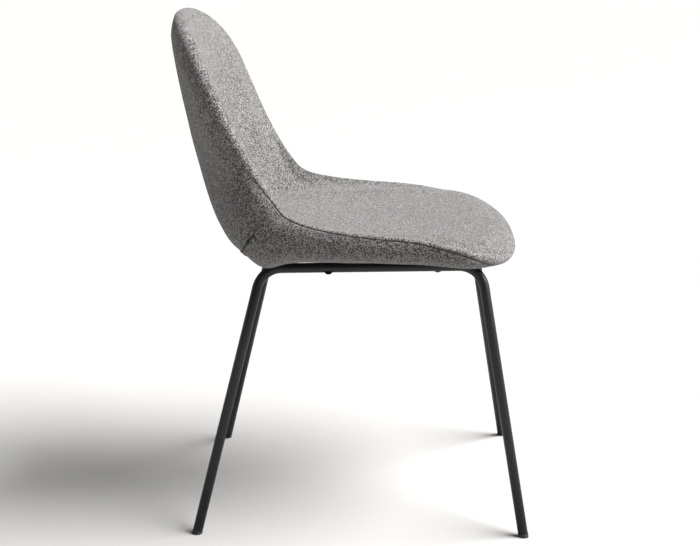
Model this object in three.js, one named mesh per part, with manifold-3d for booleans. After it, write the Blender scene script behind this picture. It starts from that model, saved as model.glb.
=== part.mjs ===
// Upholstered dining chair: a padded shell, seat and back in one, bolted to two bent-tube side hoops.
// Millimetres, +Z up. The chair faces -Y, X = 0 is its plane of symmetry, and the feet stand on Z = 0.
import * as THREE from "three";
import { mergeVertices } from "three/addons/utils/BufferGeometryUtils.js";
import Module from "manifold-3d";

// ---------------------------------------------------------------- driving dimensions

const GAP = 0.3; // between pieces that touch
const radians = THREE.MathUtils.degToRad;

// Side hoops. Each leg leans inwards by `splay` and towards the middle of the seat by `rake`.
const TUBE = { radius: 8, wall: 1.5 };
const FEET_APART = 525; // front to rear
const REAR_LEG = { y: FEET_APART / 2, halfWidth: 226.5, rake: radians(14.15) };
const FRONT_LEG = { y: -FEET_APART / 2, halfWidth: 239.5, rake: radians(-9.15) };
const SPLAY = radians(12.5);
const SEAT_RAIL = { height: 420, rise: 0.02, bendRadius: 41 }; // centre line; it rises towards the front
const GLIDE = { radius: 8.3, head: 5, plugRadius: 6.1, plugLength: 18 };

// Cross rails, and the plates that the shell is bolted to.
const CROSS_RAILS = [
  { name: "front", y: -125, plateSide: -1 },
  { name: "rear", y: 50, plateSide: 1 },
];
const CROSS_RAIL_DROP = 2; // below the seat rails' centre line
const CROSS_RAIL_REACH = 145; // past the hoops on both sides, before it is coped to fit them
const PLATE = { halfSpread: 95, width: 40, length: 34, thickness: 3, boltInset: 21, hole: 3.5 };
const BOLT = { radius: 3, headRadius: 5.5, headHeight: 3.5, crownRadius: 4.1, crownDepth: 2.45 };
const WASHER = { radius: 7, thickness: 1.2 };
const TEE_NUT = { flangeRadius: 9.5, flangeThickness: 1.2, barrelRadius: 4, bore: 3.3 };
const CLEARANCE = { nut: 0.8, pocket: 1, bore: 0.4, coverHole: 1, foamHole: 2 };
const OVERCUT = 1; // how far a cutting tool runs past the face it cuts

// The shell's middle surface. Each station gives the centre line (y, z) and the ridge (y, z) at the side,
// which lies halfWidth away from the plane of symmetry.
const STATIONS = [
  { centre: [-255, 446], ridge: [-257, 453], halfWidth: 231 }, // nose
  { centre: [-170, 453], ridge: [-167, 464], halfWidth: 250 },
  { centre: [-85, 452], ridge: [-90, 481], halfWidth: 245 },
  { centre: [0, 450.5], ridge: [-11, 489], halfWidth: 242 },
  { centre: [85, 448.5], ridge: [51, 498], halfWidth: 235 },
  { centre: [167, 446], ridge: [106, 514], halfWidth: 224 },
  { centre: [214, 496], ridge: [134, 542], halfWidth: 216 }, // corner between seat and back
  { centre: [245, 573], ridge: [162, 590], halfWidth: 212 }, // waist
  { centre: [264, 655], ridge: [196, 657], halfWidth: 226 },
  { centre: [277, 737], ridge: [225, 727], halfWidth: 232 },
  { centre: [289, 820], ridge: [238, 809], halfWidth: 232 }, // top
];
const CORNER = { at: 482, blend: 40 }; // along the centre line from the nose
const DISH = { seat: 7, back: 2.1 }; // how late the middle surface turns up towards the ridge
const FRONT_EDGE = { depth: 112, squareness: 2.8 }; // superelliptic ends of the outline
const TOP_EDGE = { depth: 120, squareness: 2.4 };
const PADDING = {
  inner: { seat: 25, back: 22, rollSeat: 55, rollBack: 60 },
  outer: { seat: 21, back: 20, rollSeat: 34, rollBack: 25 },
  edge: 3, // half the thickness of the sewn ridge
  fullness: 2.6,
};
const COVER = 1.5;
const BOARD = 9;
const DUST_COVER = { thickness: 0.8, front: 80, rear: 360, halfWidth: 118 };
const ZIP = { at: 446, halfLength: 200, width: 7, thickness: 1 };

// Grid of the shell: rings inside the outline, this far from it, then on towards the middle line.
const RING_INSETS = [0, 4, 12, 26, 50];
const INNER_RINGS = [0.62, 0.28, 0];
const MIDDLE_LINE = { front: 150, rear: 130 }; // from the two ends of the outline
const FIRST_RING = { cover: 0, foam: 1, board: 3 };
const OUTLINE_STEPS = { front: 7, seat: 5, corner: 6, back: 5, top: 7 };
const CORNER_SPAN = 75;

// ---------------------------------------------------------------- materials

const FABRIC = { color: 0x8d8985, roughness: 0.95, metalness: 0 };
const BLACK_STEEL = { color: 0x1b1c1f, roughness: 0.45, metalness: 0.3 };
const BLACK_PLASTIC = { color: 0x121214, roughness: 0.6, metalness: 0 };
const BLACK_CLOTH = { color: 0x17171a, roughness: 0.95, metalness: 0 };
const PLYWOOD = { color: 0xc49a6c, roughness: 0.7, metalness: 0 };
const FOAM = { color: 0xe3d9b0, roughness: 1, metalness: 0 };
const ZINC = { color: 0xb9bcc2, roughness: 0.35, metalness: 1 };

const chair = new THREE.Group();

function addPiece(name, geometry, finish) {
  const mesh = new THREE.Mesh(geometry, new THREE.MeshStandardMaterial(finish));
  mesh.name = name;
  chair.add(mesh);
  return mesh;
}

// ---------------------------------------------------------------- cutting

const wasm = await Module();
wasm.setup();

function positionsOnly(geometry) {
  const bare = geometry.clone();
  for (const name of ["normal", "uv"]) bare.deleteAttribute(name);
  return mergeVertices(bare, 1e-3);
}

function toSolid(geometry) {
  const merged = positionsOnly(geometry);
  return new wasm.Manifold(
    new wasm.Mesh({
      numProp: 3,
      vertProperties: new Float32Array(merged.attributes.position.array),
      triVerts: new Uint32Array(merged.index.array),
    }),
  );
}

function toGeometry(solid) {
  const mesh = solid.getMesh();
  const geometry = new THREE.BufferGeometry();
  geometry.setAttribute("position", new THREE.BufferAttribute(mesh.vertProperties, 3));
  geometry.setIndex(new THREE.BufferAttribute(mesh.triVerts, 1));
  geometry.computeVertexNormals();
  return geometry;
}

function cut(geometry, ...tools) {
  const solid = tools.reduce((rest, tool) => rest.subtract(toSolid(tool)), toSolid(geometry));
  return toGeometry(solid);
}

// ---------------------------------------------------------------- turned pieces

// Turns a closed outline of [radius, height] points about +Z.
function turned(outline, segments = 12) {
  const points = outline.map(([radius, height]) => new THREE.Vector2(radius, height));
  return new THREE.LatheGeometry(points, segments).rotateX(Math.PI / 2);
}

function rod(radius, from, to) {
  return turned([[0, from], [radius, from], [radius, to], [0, to]]);
}

function ringOf(inner, outer, from, to) {
  return turned([[inner, from], [outer, from], [outer, to], [inner, to], [inner, from]]);
}

// ---------------------------------------------------------------- tubes

// A centre line through stations, each with its own point and direction.
class TubePath extends THREE.Curve {
  constructor(stations) {
    super();
    this.stations = stations;
  }

  blend(t, key, target) {
    const place = t * (this.stations.length - 1);
    const index = Math.min(Math.floor(place), this.stations.length - 2);
    return target.lerpVectors(this.stations[index][key], this.stations[index + 1][key], place - index);
  }

  getPointAt(t, target = new THREE.Vector3()) {
    return this.blend(t, "point", target);
  }

  getTangentAt(t, target = new THREE.Vector3()) {
    return this.blend(t, "direction", target).normalize();
  }
}

// Straight runs between corners, each corner rounded to an arc of the bend radius.
function bentPath(corners, bendRadius, arcSteps = 6) {
  const stations = [];
  const put = (point, direction) => stations.push({ point, direction: direction.clone() });
  const heading = (from, to) => to.clone().sub(from).normalize();
  put(corners[0], heading(corners[0], corners[1]));
  for (let i = 1; i < corners.length - 1; i++) {
    const before = heading(corners[i - 1], corners[i]);
    const after = heading(corners[i], corners[i + 1]);
    const turn = before.angleTo(after);
    const axis = before.clone().cross(after).normalize();
    const start = corners[i].clone().addScaledVector(before, -bendRadius * Math.tan(turn / 2));
    const centre = start.clone().addScaledVector(axis.clone().cross(before), bendRadius);
    for (let step = 0; step <= arcSteps; step++) {
      const angle = (turn * step) / arcSteps;
      const point = start.clone().sub(centre).applyAxisAngle(axis, angle).add(centre);
      put(point, before.clone().applyAxisAngle(axis, angle));
    }
  }
  const last = corners.length - 1;
  put(corners[last], heading(corners[last - 1], corners[last]));
  return new TubePath(stations);
}

function tube(path, outerRadius, innerRadius = 0) {
  const section = new THREE.Shape().absarc(0, 0, outerRadius, 0, 2 * Math.PI);
  const bore = new THREE.Path().absarc(0, 0, innerRadius, 0, 2 * Math.PI, true);
  if (innerRadius > 0) section.holes.push(bore);
  const steps = path.stations.length - 1;
  return new THREE.ExtrudeGeometry(section, { steps, extrudePath: path, curveSegments: 6 });
}

// ---------------------------------------------------------------- side hoops

// The point of a leg's centre line at a height above the floor, on side -1 or +1.
function legPoint(leg, side, height) {
  return new THREE.Vector3(
    side * (leg.halfWidth - Math.tan(SPLAY) * height),
    leg.y - Math.tan(leg.rake) * height,
    height,
  );
}

const railHeight = (y) => SEAT_RAIL.height - SEAT_RAIL.rise * y;

// Where a leg's line would meet the seat rail's line if the tube weren't bent.
function legCorner(leg, side) {
  const lean = SEAT_RAIL.rise * Math.tan(leg.rake);
  return legPoint(leg, side, railHeight(leg.y) / (1 - lean));
}

function hoopPath(side) {
  const legEnd = (leg) => {
    const foot = legPoint(leg, side, 0);
    const up = legCorner(leg, side).sub(foot).normalize();
    return foot.addScaledVector(up, GLIDE.head + GAP);
  };
  const rear = [legEnd(REAR_LEG), legCorner(REAR_LEG, side)];
  const front = [legCorner(FRONT_LEG, side), legEnd(FRONT_LEG)];
  return bentPath([...rear, ...front], SEAT_RAIL.bendRadius);
}

const SIDES = [
  { name: "right", side: -1 }, // the sitter's right
  { name: "left", side: 1 },
];

for (const { name, side } of SIDES) {
  const geometry = tube(hoopPath(side), TUBE.radius, TUBE.radius - TUBE.wall);
  addPiece(`side_hoop_${name}`, geometry, BLACK_STEEL);
}

// ---------------------------------------------------------------- glides

// Everything below the floor, which trims a leaning glide level.
function floorBlock() {
  const size = 200;
  return new THREE.BoxGeometry(size, size, size).translate(0, 0, -size / 2);
}

function glide(leg, side) {
  const foot = legPoint(leg, side, 0);
  const up = legCorner(leg, side).sub(foot).normalize();
  const below = -GLIDE.radius; // deep enough for the floor to trim all round
  const plugTop = GLIDE.head + GLIDE.plugLength;
  const body = turned([
    [0, below],
    [GLIDE.radius, below],
    [GLIDE.radius, GLIDE.head],
    [GLIDE.plugRadius, GLIDE.head],
    [GLIDE.plugRadius, plugTop],
    [0, plugTop],
  ]);
  body.applyQuaternion(new THREE.Quaternion().setFromUnitVectors(new THREE.Vector3(0, 0, 1), up));
  return cut(body, floorBlock()).translate(foot.x, foot.y, 0);
}

for (const { name, side } of SIDES) {
  addPiece(`glide_front_${name}`, glide(FRONT_LEG, side), BLACK_PLASTIC);
  addPiece(`glide_rear_${name}`, glide(REAR_LEG, side), BLACK_PLASTIC);
}

// ---------------------------------------------------------------- the shell's surfaces

const line = (key) =>
  new THREE.CatmullRomCurve3(
    STATIONS.map((station) => new THREE.Vector3(station.halfWidth, ...station[key])),
    false,
    "catmullrom",
  );
const centreLine = line("centre");
const ridgeLine = line("ridge");

// Distance along the centre line, measured without the half width.
const profile = new THREE.CatmullRomCurve3(
  STATIONS.map(({ centre }) => new THREE.Vector3(0, ...centre)),
  false,
  "catmullrom",
);
profile.arcLengthDivisions = 400;
const SHELL_LENGTH = profile.getLength();

const mix = THREE.MathUtils.lerp;
const clamp = THREE.MathUtils.clamp;
const backness = (s) => 1 / (1 + Math.exp(-(s - CORNER.at) / CORNER.blend));
const parameterAt = (s) => profile.getUtoTmapping(clamp(s / SHELL_LENGTH, 0, 1));
const halfWidthAt = (s) => centreLine.getPoint(parameterAt(s)).x;

// The middle surface: across the chair it rises from the centre line to the ridge as a power of x.
function middlePoint(s, x) {
  const t = parameterAt(s);
  const centre = centreLine.getPoint(t);
  const ridge = ridgeLine.getPoint(t);
  const lift = Math.pow(Math.abs(x) / centre.x, mix(DISH.seat, DISH.back, backness(s)));
  return new THREE.Vector3(x, mix(centre.y, ridge.y, lift), mix(centre.z, ridge.z, lift));
}

// Its unit normal, towards the sitter.
function middleNormal(s, x, step = 1) {
  const along = middlePoint(s + step, x).sub(middlePoint(s - step, x));
  const across = middlePoint(s, x + step).sub(middlePoint(s, x - step));
  return across.cross(along).normalize();
}

// How thick the padding is on one side, `edge` away from the outline.
function paddingAt({ seat, back, rollSeat, rollBack }, s, edge) {
  const k = backness(s);
  const roll = clamp(edge / mix(rollSeat, rollBack, k), 0, 1);
  const full = mix(seat, back, k);
  return PADDING.edge + (full - PADDING.edge) * (1 - Math.pow(1 - roll, PADDING.fullness));
}

const innerFace = ({ s, edge }) => paddingAt(PADDING.inner, s, edge);
const outerFace = ({ s, edge }) => -paddingAt(PADDING.outer, s, edge);

// ---------------------------------------------------------------- the shell's grid

// Half of the outline as (s, x), from the middle of the front edge to the middle of the top edge.
function halfOutline() {
  const points = [];
  const cap = ({ depth, squareness }, angle) => ({
    inset: depth * (1 - Math.pow(Math.cos(angle), 2 / squareness)),
    share: Math.pow(Math.sin(angle), 2 / squareness),
  });
  const put = (s, share) => points.push(new THREE.Vector2(s, share * halfWidthAt(s)));
  const run = (from, to, steps) => {
    for (let i = 1; i <= steps; i++) put(mix(from, to, i / steps), 1);
  };
  for (let i = 0; i <= OUTLINE_STEPS.front; i++) {
    const { inset, share } = cap(FRONT_EDGE, (Math.PI / 2) * (i / OUTLINE_STEPS.front));
    put(inset, share);
  }
  const topStart = SHELL_LENGTH - TOP_EDGE.depth;
  run(FRONT_EDGE.depth, CORNER.at - CORNER_SPAN, OUTLINE_STEPS.seat);
  run(CORNER.at - CORNER_SPAN, CORNER.at + CORNER_SPAN, OUTLINE_STEPS.corner);
  run(CORNER.at + CORNER_SPAN, topStart, OUTLINE_STEPS.back);
  for (let i = OUTLINE_STEPS.top - 1; i >= 0; i--) {
    const { inset, share } = cap(TOP_EDGE, (Math.PI / 2) * (i / OUTLINE_STEPS.top));
    put(SHELL_LENGTH - inset, share);
  }
  return points;
}

function fullOutline() {
  const right = halfOutline();
  const left = right.slice(1, -1).reverse();
  return [...right, ...left.map((p) => new THREE.Vector2(p.x, -p.y))];
}

// Rings of points {s, x, edge, middle, normal} from the outline in to the middle line.
function shellRings() {
  const outline = fullOutline();
  const count = outline.length;
  const inward = outline.map((_, i) => {
    const tangent = outline[(i + 1) % count].clone().sub(outline[(i + count - 1) % count]).normalize();
    return new THREE.Vector2(tangent.y, -tangent.x).negate();
  });
  const node = (place, edge) => ({
    s: place.x,
    x: place.y,
    edge,
    middle: middlePoint(place.x, place.y),
    normal: middleNormal(place.x, place.y),
  });
  const insetRing = (inset) => outline.map((p, i) => p.clone().addScaledVector(inward[i], -inset));
  const rings = RING_INSETS.map((inset) => insetRing(inset).map((p) => node(p, inset)));
  const deepest = RING_INSETS[RING_INSETS.length - 1];
  const last = insetRing(deepest);
  for (const share of INNER_RINGS) {
    const ring = last.map((p) => {
      const s = clamp(p.x, MIDDLE_LINE.front, SHELL_LENGTH - MIDDLE_LINE.rear);
      const middle = new THREE.Vector2(s, 0);
      return node(middle.clone().lerp(p, share), deepest + middle.distanceTo(p) * (1 - share));
    });
    rings.push(ring);
  }
  return rings;
}

const RINGS = shellRings();

const lifted = (point, height) => point.middle.clone().addScaledVector(point.normal, height);

// Joins quads into one closed geometry, with no collapsed triangles.
function closedGeometry(quads) {
  const positions = [];
  const index = [];
  const seen = new Map();
  const indexOf = (p) => {
    const key = p.toArray().map((value) => value.toFixed(3)).join();
    if (!seen.has(key)) {
      seen.set(key, seen.size);
      positions.push(...p.toArray());
    }
    return seen.get(key);
  };
  for (const [a, b, c, d] of quads) {
    for (const triangle of [[a, b, c], [a, c, d]]) {
      const corners = triangle.map(indexOf);
      if (new Set(corners).size === 3) index.push(...corners);
    }
  }
  const geometry = new THREE.BufferGeometry();
  geometry.setAttribute("position", new THREE.Float32BufferAttribute(positions, 3));
  geometry.setIndex(index);
  geometry.computeVertexNormals();
  return geometry;
}

// The solid between two heights above the middle surface, from one ring inwards.
function shellLayer(firstRing, upper, lower) {
  const rings = RINGS.slice(firstRing).map((ring) =>
    ring.map((p) => ({ top: lifted(p, upper(p)), bottom: lifted(p, lower(p)) })),
  );
  const quads = [];
  const count = rings[0].length;
  for (let k = 0; k < count; k++) {
    const next = (k + 1) % count;
    for (let j = 0; j + 1 < rings.length; j++) {
      const [outer, inner] = [rings[j], rings[j + 1]];
      quads.push([outer[k].top, outer[next].top, inner[next].top, inner[k].top]);
      quads.push([outer[k].bottom, inner[k].bottom, inner[next].bottom, outer[next].bottom]);
    }
    const rim = rings[0];
    quads.push([rim[k].bottom, rim[next].bottom, rim[next].top, rim[k].top]);
  }
  return closedGeometry(quads);
}

// The same for a four-sided patch: place(u, v) gives {s, x} for u and v from 0 to 1.
function shellPatch(stepsU, stepsV, place, upper, lower) {
  const grid = [];
  for (let i = 0; i <= stepsU; i++) {
    grid.push([]);
    for (let j = 0; j <= stepsV; j++) {
      const { s, x } = place(i / stepsU, j / stepsV);
      const edge = halfWidthAt(s) - Math.abs(x);
      const point = { s, x, edge, middle: middlePoint(s, x), normal: middleNormal(s, x) };
      grid[i].push({ top: lifted(point, upper(point)), bottom: lifted(point, lower(point)) });
    }
  }
  const quads = [];
  const wall = (a, b) => quads.push([a.bottom, b.bottom, b.top, a.top]);
  for (let i = 0; i < stepsU; i++) {
    for (let j = 0; j < stepsV; j++) {
      const [a, b, c, d] = [grid[i][j], grid[i + 1][j], grid[i + 1][j + 1], grid[i][j + 1]];
      quads.push([a.top, b.top, c.top, d.top], [a.bottom, d.bottom, c.bottom, b.bottom]);
    }
    wall(grid[i][0], grid[i + 1][0]);
    wall(grid[i + 1][stepsV], grid[i][stepsV]);
  }
  for (let j = 0; j < stepsV; j++) {
    wall(grid[stepsU][j], grid[stepsU][j + 1]);
    wall(grid[0][j + 1], grid[0][j]);
  }
  return closedGeometry(quads);
}

// ---------------------------------------------------------------- bolted joints

// The distance along the centre line at which it reaches a given y on the seat.
function seatDistance(y) {
  let [low, high] = [0, CORNER.at];
  while (high - low > 0.01) {
    const half = (low + high) / 2;
    if (middlePoint(half, 0).y < y) low = half;
    else high = half;
  }
  return low;
}

function boltedJoint(rail, side) {
  const x = side * PLATE.halfSpread;
  const middleHeight = (inset) => middlePoint(seatDistance(rail.y + rail.plateSide * inset), x).z;
  const y = rail.y + rail.plateSide * PLATE.boltInset;
  const lowest = Math.min(middleHeight(0), middleHeight(PLATE.boltInset), middleHeight(PLATE.length));
  const plateTop = lowest - PADDING.outer.seat - DUST_COVER.thickness - 4 * GAP;
  const boardTop = middleHeight(PLATE.boltInset) + BOARD / 2;
  return { x, y, plateTop, plateBottom: plateTop - PLATE.thickness, boardTop };
}

const JOINTS = CROSS_RAILS.flatMap((rail) =>
  SIDES.map(({ name, side }) => ({ label: `${rail.name}_${name}`, rail, side, ...boltedJoint(rail, side) })),
);
const through = (radius) =>
  JOINTS.map(({ x, y, plateTop, boardTop }) => rod(radius, plateTop, boardTop).translate(x, y, 0));

// ---------------------------------------------------------------- upholstered shell

const foamTop = (p) => innerFace(p) - COVER - GAP;
const foamBottom = (p) => outerFace(p) + COVER + GAP;
const isOverBoard = (p) => p.edge >= RING_INSETS[FIRST_RING.board];
const boardFace = (p) => (isOverBoard(p) ? BOARD / 2 + GAP : GAP / 2);
const coverInside = (p, face) =>
  p.edge === 0 ? (Math.sign(face) * GAP) / 2 : face - Math.sign(face) * COVER;

addPiece(
  "cover_front",
  shellLayer(FIRST_RING.cover, innerFace, (p) => coverInside(p, innerFace(p))),
  FABRIC,
);
addPiece(
  "cover_rear",
  cut(
    shellLayer(FIRST_RING.cover, (p) => coverInside(p, outerFace(p)), outerFace),
    ...through(BOLT.radius + CLEARANCE.coverHole),
  ),
  FABRIC,
);

const nutPockets = JOINTS.map(({ x, y, boardTop }) => {
  const depth = TEE_NUT.flangeThickness + 3 * CLEARANCE.nut;
  const pocket = rod(TEE_NUT.flangeRadius + CLEARANCE.pocket, boardTop - OVERCUT, boardTop + depth);
  return pocket.translate(x, y, 0);
});
addPiece("foam_front", cut(shellLayer(FIRST_RING.foam, foamTop, boardFace), ...nutPockets), FOAM);
addPiece(
  "foam_rear",
  cut(
    shellLayer(FIRST_RING.foam, (p) => -boardFace(p), foamBottom),
    ...through(BOLT.radius + CLEARANCE.foamHole),
  ),
  FOAM,
);
const nutBores = JOINTS.map(({ x, y, boardTop }) => {
  const [from, to] = [boardTop - BOARD - 3 * OVERCUT, boardTop + 2 * OVERCUT];
  return rod(TEE_NUT.barrelRadius + CLEARANCE.bore, from, to).translate(x, y, 0);
});
const board = shellLayer(FIRST_RING.board, () => BOARD / 2, () => -BOARD / 2);
addPiece("shell_board", cut(board, ...nutBores), PLYWOOD);

const dustCover = shellPatch(
  6,
  8,
  (u, v) => ({
    s: mix(DUST_COVER.front, DUST_COVER.rear, v),
    x: mix(-DUST_COVER.halfWidth, DUST_COVER.halfWidth, u),
  }),
  (p) => outerFace(p) - 2 * GAP,
  (p) => outerFace(p) - 2 * GAP - DUST_COVER.thickness,
);
addPiece("dust_cover", cut(dustCover, ...through(BOLT.radius + CLEARANCE.coverHole)), BLACK_CLOTH);

// The zip closes the outer cover across the heel of the shell.
const zip = shellPatch(
  20,
  1,
  (u, v) => ({
    s: ZIP.at + (v - 0.5) * ZIP.width,
    x: mix(-ZIP.halfLength, ZIP.halfLength, u),
  }),
  (p) => outerFace(p) - 4 * GAP,
  (p) => outerFace(p) - 4 * GAP - ZIP.thickness,
);
addPiece("cover_zip", zip, BLACK_CLOTH);

// ---------------------------------------------------------------- cross rails, plates and fasteners

const hoopTools = SIDES.map(({ side }) => tube(hoopPath(side), TUBE.radius + GAP));

function crossRail(y, outerRadius, innerRadius = 0) {
  const z = railHeight(y) - CROSS_RAIL_DROP;
  const ends = [-1, 1].map((side) => new THREE.Vector3(side * CROSS_RAIL_REACH, y, z));
  return tube(bentPath(ends, 0), outerRadius, innerRadius);
}

for (const rail of CROSS_RAILS) {
  const geometry = cut(crossRail(rail.y, TUBE.radius, TUBE.radius - TUBE.wall), ...hoopTools);
  const solid = toSolid(geometry);
  const middlePiece = solid.decompose().sort((a, b) => b.volume() - a.volume())[0];
  addPiece(`cross_rail_${rail.name}`, toGeometry(middlePiece), BLACK_STEEL);
}

for (const { label, rail, x, y, plateTop, plateBottom, boardTop } of JOINTS) {
  const plate = new THREE.BoxGeometry(PLATE.width, PLATE.length, PLATE.thickness).translate(
    x,
    rail.y + (rail.plateSide * PLATE.length) / 2,
    (plateTop + plateBottom) / 2,
  );
  const hole = rod(PLATE.hole, plateBottom - OVERCUT, plateTop + OVERCUT).translate(x, y, 0);
  const plateShape = cut(plate, hole, crossRail(rail.y, TUBE.radius + GAP));
  addPiece(`mount_plate_${label}`, plateShape, BLACK_STEEL);

  const washerTop = plateBottom - GAP;
  const washerBottom = washerTop - WASHER.thickness;
  const washer = ringOf(TEE_NUT.bore, WASHER.radius, washerBottom, washerTop);
  addPiece(`washer_${label}`, washer.translate(x, y, 0), ZINC);

  const headTop = washerBottom - GAP;
  const bolt = turned([
    [0, headTop - BOLT.headHeight],
    [BOLT.crownRadius, headTop - BOLT.headHeight],
    [BOLT.headRadius, headTop - BOLT.headHeight + BOLT.crownDepth],
    [BOLT.headRadius, headTop],
    [BOLT.radius, headTop],
    [BOLT.radius, boardTop],
    [0, boardTop],
  ]);
  addPiece(`bolt_${label}`, bolt.translate(x, y, 0), ZINC);

  const flangeBottom = boardTop + CLEARANCE.nut;
  const flangeTop = flangeBottom + TEE_NUT.flangeThickness;
  const teeNut = turned([
    [TEE_NUT.bore, boardTop - BOARD],
    [TEE_NUT.barrelRadius, boardTop - BOARD],
    [TEE_NUT.barrelRadius, flangeBottom],
    [TEE_NUT.flangeRadius, flangeBottom],
    [TEE_NUT.flangeRadius, flangeTop],
    [TEE_NUT.bore, flangeTop],
    [TEE_NUT.bore, boardTop - BOARD],
  ]);
  addPiece(`tee_nut_${label}`, teeNut.translate(x, y, 0), ZINC);
}

// The origin is on the floor, below the middle of the chair's outer box.
const extent = new THREE.Box3().setFromObject(chair, true);
chair.position.y = -(extent.min.y + extent.max.y) / 2;

export default chair;
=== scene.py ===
# %% [markdown]
# # A padded dining chair on bent steel legs
# The chair is one padded shell, seat and back in a single sweep, on two hoops of thin black tube.
# Its hard parts arrive as a finished model. This lesson gives them their finishes, replaces the
# solids that stand for foam and cloth with proper upholstery, and lights the chair in a plain studio.

# %% Load the hard parts
from math import atan2, cos, pi, radians, sin, tan

import bmesh
import bpy
import numpy as np
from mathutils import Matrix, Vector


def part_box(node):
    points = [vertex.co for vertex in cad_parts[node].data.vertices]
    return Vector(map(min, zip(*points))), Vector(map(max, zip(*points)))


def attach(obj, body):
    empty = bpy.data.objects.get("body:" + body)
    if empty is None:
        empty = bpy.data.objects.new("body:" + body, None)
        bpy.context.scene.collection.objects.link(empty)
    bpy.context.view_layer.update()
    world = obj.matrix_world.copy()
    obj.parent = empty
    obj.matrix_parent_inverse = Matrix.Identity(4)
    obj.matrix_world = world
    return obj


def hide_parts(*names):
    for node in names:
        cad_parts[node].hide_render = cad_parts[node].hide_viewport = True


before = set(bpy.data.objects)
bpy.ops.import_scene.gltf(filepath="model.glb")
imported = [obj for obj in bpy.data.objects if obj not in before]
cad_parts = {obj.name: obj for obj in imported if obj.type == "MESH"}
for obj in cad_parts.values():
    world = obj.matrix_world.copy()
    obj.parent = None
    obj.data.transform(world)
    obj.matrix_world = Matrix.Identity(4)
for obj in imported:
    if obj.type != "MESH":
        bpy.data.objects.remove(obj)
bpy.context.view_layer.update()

# %% [markdown]
# ## Camera
# The chair is looked at from its right side, from a little above the seat, through a long lens that
# keeps the legs nearly parallel. It comes first, so that every later step can be looked at.

# %% Camera
EYE = (-2.4592, -0.0675, 0.9727)
LOOK_DOWN = 13.623
camera_data = bpy.data.cameras.new("camera")
camera_data.lens = 76.54
camera_data.sensor_width = 36
camera_data.shift_x = -0.0588
camera_data.clip_end = 200.0
camera = bpy.data.objects.new("camera", camera_data)
camera.location = EYE
camera.rotation_euler = (radians(90 - LOOK_DOWN), 0, radians(-90))
bpy.context.scene.collection.objects.link(camera)
bpy.context.scene.camera = camera
bpy.context.scene.view_settings.view_transform = "Standard"
print("camera", EYE, "looking down", LOOK_DOWN, "degrees")

# %% [markdown]
# ## Shader maths
# A pattern such as a weave is a formula. Each output of a node is wrapped in a small class, so that the
# formula can be written as one: `1 - wire * 2` adds the two Math nodes that it needs.

# %% A wire between shader nodes
class Wire:
    """One output of a node. Operators add Math nodes, and `add` adds any other node."""

    def __init__(self, tree, socket=None):
        self.tree = tree
        self.socket = socket

    def add(self, kind, settings=None, inputs=None, output=0):
        """A node of a type: its settings are set first, then the values or links of its sockets."""
        node = self.tree.nodes.new("ShaderNode" + kind)
        for name, value in (settings or {}).items():
            if name == "stops":
                fill_ramp(node.color_ramp, value)
            else:
                setattr(node, name, value)
        for name, value in (inputs or {}).items():
            if isinstance(value, Wire):
                self.tree.links.new(value.socket, node.inputs[name])
            else:
                node.inputs[name].default_value = value
        return Wire(self.tree, node.outputs[output])

    def maths(self, operation, *values):
        return self.add("Math", {"operation": operation}, dict(enumerate(values)))

    def __add__(self, other):
        return self.maths("ADD", self, other)

    def __sub__(self, other):
        return self.maths("SUBTRACT", self, other)

    def __rsub__(self, other):
        return self.maths("SUBTRACT", other, self)

    def __mul__(self, other):
        return self.maths("MULTIPLY", self, other)

    def __truediv__(self, other):
        return self.maths("DIVIDE", self, other)

    __radd__ = __add__
    __rmul__ = __mul__

    def sine(self):
        return self.maths("SINE", self)

    def size(self):
        return self.maths("ABSOLUTE", self)

    def floor(self):
        return self.maths("FLOOR", self)

    def above(self, limit):
        return self.maths("GREATER_THAN", self, limit)

    def between(self, low, high):
        """0 below `low`, 1 above `high`, smooth in between."""
        settings = {"interpolation_type": "SMOOTHSTEP"}
        return self.add("MapRange", settings, {"Value": self, "From Min": low, "From Max": high})

    def choose(self, first, second):
        """The first value or colour where this wire is 0, the second where it is 1."""
        return self.add("Mix", {"data_type": "RGBA"}, {"Factor": self, 6: first, 7: second}, 2)

    def noise(self, scale, detail=2.0, roughness=0.5):
        """Smooth random values from 0 to 1, about `scale` spots to a metre."""
        inputs = {"Vector": self, "Scale": scale, "Detail": detail, "Roughness": roughness}
        return self.add("TexNoise", None, inputs)


def fill_ramp(ramp, stops):
    """Puts stops of (place, grey or colour) on a colour ramp."""
    while len(ramp.elements) < len(stops):
        ramp.elements.new(0.5)
    for element, (place, colour) in zip(ramp.elements, stops):
        element.position = place
        element.color = colour if len(colour) == 4 else (*colour, 1)


# %% A new finish
def new_finish(name, coordinates="Object", **constants):
    """A material whose constant values are set on its shader. Returns it, its shader and the coordinates."""
    material = bpy.data.materials.new(name)
    material.use_nodes = True
    tree = material.node_tree
    shader = next(node for node in tree.nodes if node.type == "BSDF_PRINCIPLED")
    for socket, value in constants.items():
        shader.inputs[socket.replace("_", " ")].default_value = value
    place = Wire(tree).add("TexCoord", None, None, coordinates)
    return material, shader, place


def dress(shader, bump=None, depth=0.0005, strength=1.0, **wires):
    """Links wires to the shader's sockets, and a height of `depth` metres through a Bump node."""
    tree = shader.id_data
    if bump is not None:
        inputs = {"Height": bump, "Distance": depth, "Strength": strength}
        wires["Normal"] = bump.add("Bump", None, inputs)
    for socket, wire in wires.items():
        tree.links.new(wire.socket, shader.inputs[socket.replace("_", " ")])


def split(place, names):
    """The named axes of a vector wire."""
    return [place.add("SeparateXYZ", None, {0: place}, name) for name in names]


print("shader tools ready")
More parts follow.
